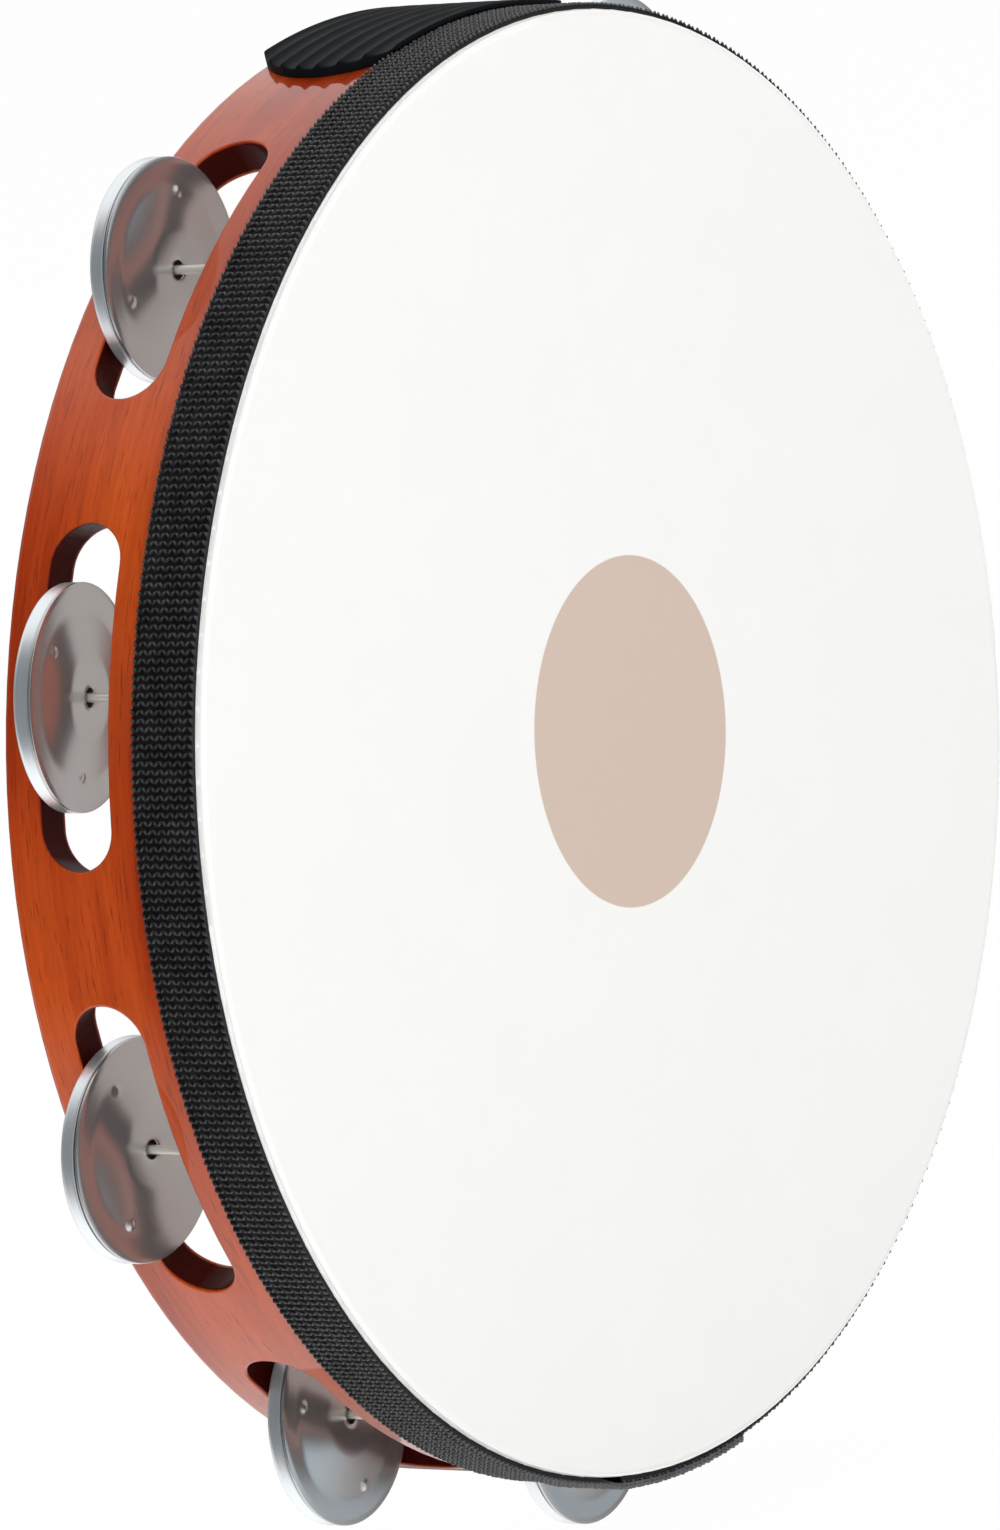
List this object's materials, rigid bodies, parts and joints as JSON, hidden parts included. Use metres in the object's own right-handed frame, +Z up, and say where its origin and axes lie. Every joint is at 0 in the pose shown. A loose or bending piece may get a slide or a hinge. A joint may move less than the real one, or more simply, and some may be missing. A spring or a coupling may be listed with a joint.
{
  "type": "tambourine",
  "caption": "Hand-held tambourine: slotted wooden hoop with a white head on one side, a woven band, a rubber grip and pairs of steel jingles on nails.",
  "frame": {"origin": "middle of the grip pad's outer face, where the holding hand closes on the hoop", "axes": "+Z up, straight out of the grip; +Y backwards along the drum's axis, so the head faces -Y; +X to the right seen from the head's side"},
  "size_m": [0.2762, 0.0403, 0.2718],
  "materials": {
    "hoop_wood": "reddish-brown stain under clear gloss lacquer",
    "head_film": "smooth coated white film with a plain tan dot",
    "woven_band": "black woven nylon webbing",
    "grip_rubber": "satin black ribbed rubber",
    "jingle_steel": "bright polished steel sheet",
    "nail_steel": "bright drawn wire"
  },
  "bodies": {
    "frame": {"hoop": "hoop_wood", "drumhead": "head_film", "webbing_band": "woven_band", "grip_pad": "grip_rubber"},
    "jingle_pin_1": {"jingle_pin_1": "nail_steel"},
    "front_disc_1": {"front_disc_1": "jingle_steel"},
    "rear_disc_1": {"rear_disc_1": "jingle_steel"},
    "jingle_pin_2": {"jingle_pin_2": "nail_steel"},
    "front_disc_2": {"front_disc_2": "jingle_steel"},
    "rear_disc_2": {"rear_disc_2": "jingle_steel"},
    "jingle_pin_3": {"jingle_pin_3": "nail_steel"},
    "front_disc_3": {"front_disc_3": "jingle_steel"},
    "rear_disc_3": {"rear_disc_3": "jingle_steel"},
    "jingle_pin_4": {"jingle_pin_4": "nail_steel"},
    "front_disc_4": {"front_disc_4": "jingle_steel"},
    "rear_disc_4": {"rear_disc_4": "jingle_steel"},
    "jingle_pin_5": {"jingle_pin_5": "nail_steel"},
    "front_disc_5": {"front_disc_5": "jingle_steel"},
    "rear_disc_5": {"rear_disc_5": "jingle_steel"},
    "jingle_pin_6": {"jingle_pin_6": "nail_steel"},
    "front_disc_6": {"front_disc_6": "jingle_steel"},
    "rear_disc_6": {"rear_disc_6": "jingle_steel"},
    "jingle_pin_7": {"jingle_pin_7": "nail_steel"},
    "front_disc_7": {"front_disc_7": "jingle_steel"},
    "rear_disc_7": {"rear_disc_7": "jingle_steel"},
    "jingle_pin_8": {"jingle_pin_8": "nail_steel"},
    "front_disc_8": {"front_disc_8": "jingle_steel"},
    "rear_disc_8": {"rear_disc_8": "jingle_steel"},
    "jingle_pin_9": {"jingle_pin_9": "nail_steel"},
    "front_disc_9": {"front_disc_9": "jingle_steel"},
    "rear_disc_9": {"rear_disc_9": "jingle_steel"}
  },
  "joints": [
    {"name": "jingle_pin_1_spin", "type": "hinge", "parent": "frame", "child": "jingle_pin_1", "pos_m": [-0.07648, 0.0013, -0.03266], "axis": [0, 1, 0], "continuous": true},
    {"name": "rear_disc_1_slide", "type": "slide", "parent": "jingle_pin_1", "child": "rear_disc_1", "axis": [0, -1, 0], "range_m": [-0.0007, 0.0054]},
    {"name": "front_disc_1_slide", "type": "slide", "parent": "rear_disc_1", "child": "front_disc_1", "axis": [0, -1, 0], "range_m": [-0.0002, 0.0025]},
    {"name": "jingle_pin_2_spin", "type": "hinge", "parent": "frame", "child": "jingle_pin_2", "pos_m": [-0.11903, -0.0008, -0.09694], "axis": [0, 1, 0], "continuous": true},
    {"name": "rear_disc_2_slide", "type": "slide", "parent": "jingle_pin_2", "child": "rear_disc_2", "axis": [0, -1, 0], "range_m": [0, 0.0022]},
    {"name": "front_disc_2_slide", "type": "slide", "parent": "rear_disc_2", "child": "front_disc_2", "axis": [0, -1, 0], "range_m": [-0.00016, 0.0021]},
    {"name": "jingle_pin_3_spin", "type": "hinge", "parent": "frame", "child": "jingle_pin_3", "pos_m": [-0.11489, 0.0012, -0.17453], "axis": [0, 1, 0], "continuous": true},
    {"name": "rear_disc_3_slide", "type": "slide", "parent": "jingle_pin_3", "child": "rear_disc_3", "axis": [0, -1, 0], "range_m": [-0.0001, 0.0053]},
    {"name": "front_disc_3_slide", "type": "slide", "parent": "rear_disc_3", "child": "front_disc_3", "axis": [0, -1, 0], "range_m": [-0.00019, 0.0025]},
    {"name": "jingle_pin_4_spin", "type": "hinge", "parent": "frame", "child": "jingle_pin_4", "pos_m": [-0.06775, 0.0011, -0.23264], "axis": [0, 1, 0], "continuous": true},
    {"name": "rear_disc_4_slide", "type": "slide", "parent": "jingle_pin_4", "child": "rear_disc_4", "axis": [0, -1, 0], "range_m": [-0.0002, 0.0052]},
    {"name": "front_disc_4_slide", "type": "slide", "parent": "rear_disc_4", "child": "front_disc_4", "axis": [0, -1, 0], "range_m": [-0.00019, 0.0025]},
    {"name": "jingle_pin_5_spin", "type": "hinge", "parent": "frame", "child": "jingle_pin_5", "pos_m": [0.00581, 0.0013, -0.25276], "axis": [0, 1, 0], "continuous": true},
    {"name": "rear_disc_5_slide", "type": "slide", "parent": "jingle_pin_5", "child": "rear_disc_5", "axis": [0, -1, 0], "range_m": [-0.0005, 0.0054]},
    {"name": "front_disc_5_slide", "type": "slide", "parent": "rear_disc_5", "child": "front_disc_5", "axis": [0, -1, 0], "range_m": [-0.00019, 0.0025]},
    {"name": "jingle_pin_6_spin", "type": "hinge", "parent": "frame", "child": "jingle_pin_6", "pos_m": [0.07716, 0.0002, -0.22581], "axis": [0, 1, 0], "continuous": true},
    {"name": "rear_disc_6_slide", "type": "slide", "parent": "jingle_pin_6", "child": "rear_disc_6", "axis": [0, -1, 0], "range_m": [-0.0015, 0.0043]},
    {"name": "front_disc_6_slide", "type": "slide", "parent": "rear_disc_6", "child": "front_disc_6", "axis": [0, -1, 0], "range_m": [-0.00019, 0.0025]},
    {"name": "jingle_pin_7_spin", "type": "hinge", "parent": "frame", "child": "jingle_pin_7", "pos_m": [0.11903, 0.001, -0.16206], "axis": [0, 1, 0], "continuous": true},
    {"name": "rear_disc_7_slide", "type": "slide", "parent": "jingle_pin_7", "child": "rear_disc_7", "axis": [0, -1, 0], "range_m": [-0.0005, 0.0051]},
    {"name": "front_disc_7_slide", "type": "slide", "parent": "rear_disc_7", "child": "front_disc_7", "axis": [0, -1, 0], "range_m": [-0.00019, 0.0025]},
    {"name": "jingle_pin_8_spin", "type": "hinge", "parent": "frame", "child": "jingle_pin_8", "pos_m": [0.11543, -0.0002, -0.08588], "axis": [0, 1, 0], "continuous": true},
    {"name": "rear_disc_8_slide", "type": "slide", "parent": "jingle_pin_8", "child": "rear_disc_8", "axis": [0, -1, 0], "range_m": [-0.0022, 0.0039]},
    {"name": "front_disc_8_slide", "type": "slide", "parent": "rear_disc_8", "child": "front_disc_8", "axis": [0, -1, 0], "range_m": [-0.0002, 0.0025]},
    {"name": "jingle_pin_9_spin", "type": "hinge", "parent": "frame", "child": "jingle_pin_9", "pos_m": [0.06775, 0.0008, -0.02636], "axis": [0, 1, 0], "continuous": true},
    {"name": "rear_disc_9_slide", "type": "slide", "parent": "jingle_pin_9", "child": "rear_disc_9", "axis": [0, -1, 0], "range_m": [-0.0007, 0.0049]},
    {"name": "front_disc_9_slide", "type": "slide", "parent": "rear_disc_9", "child": "front_disc_9", "axis": [0, -1, 0], "range_m": [-0.00019, 0.0025]}
  ]
}
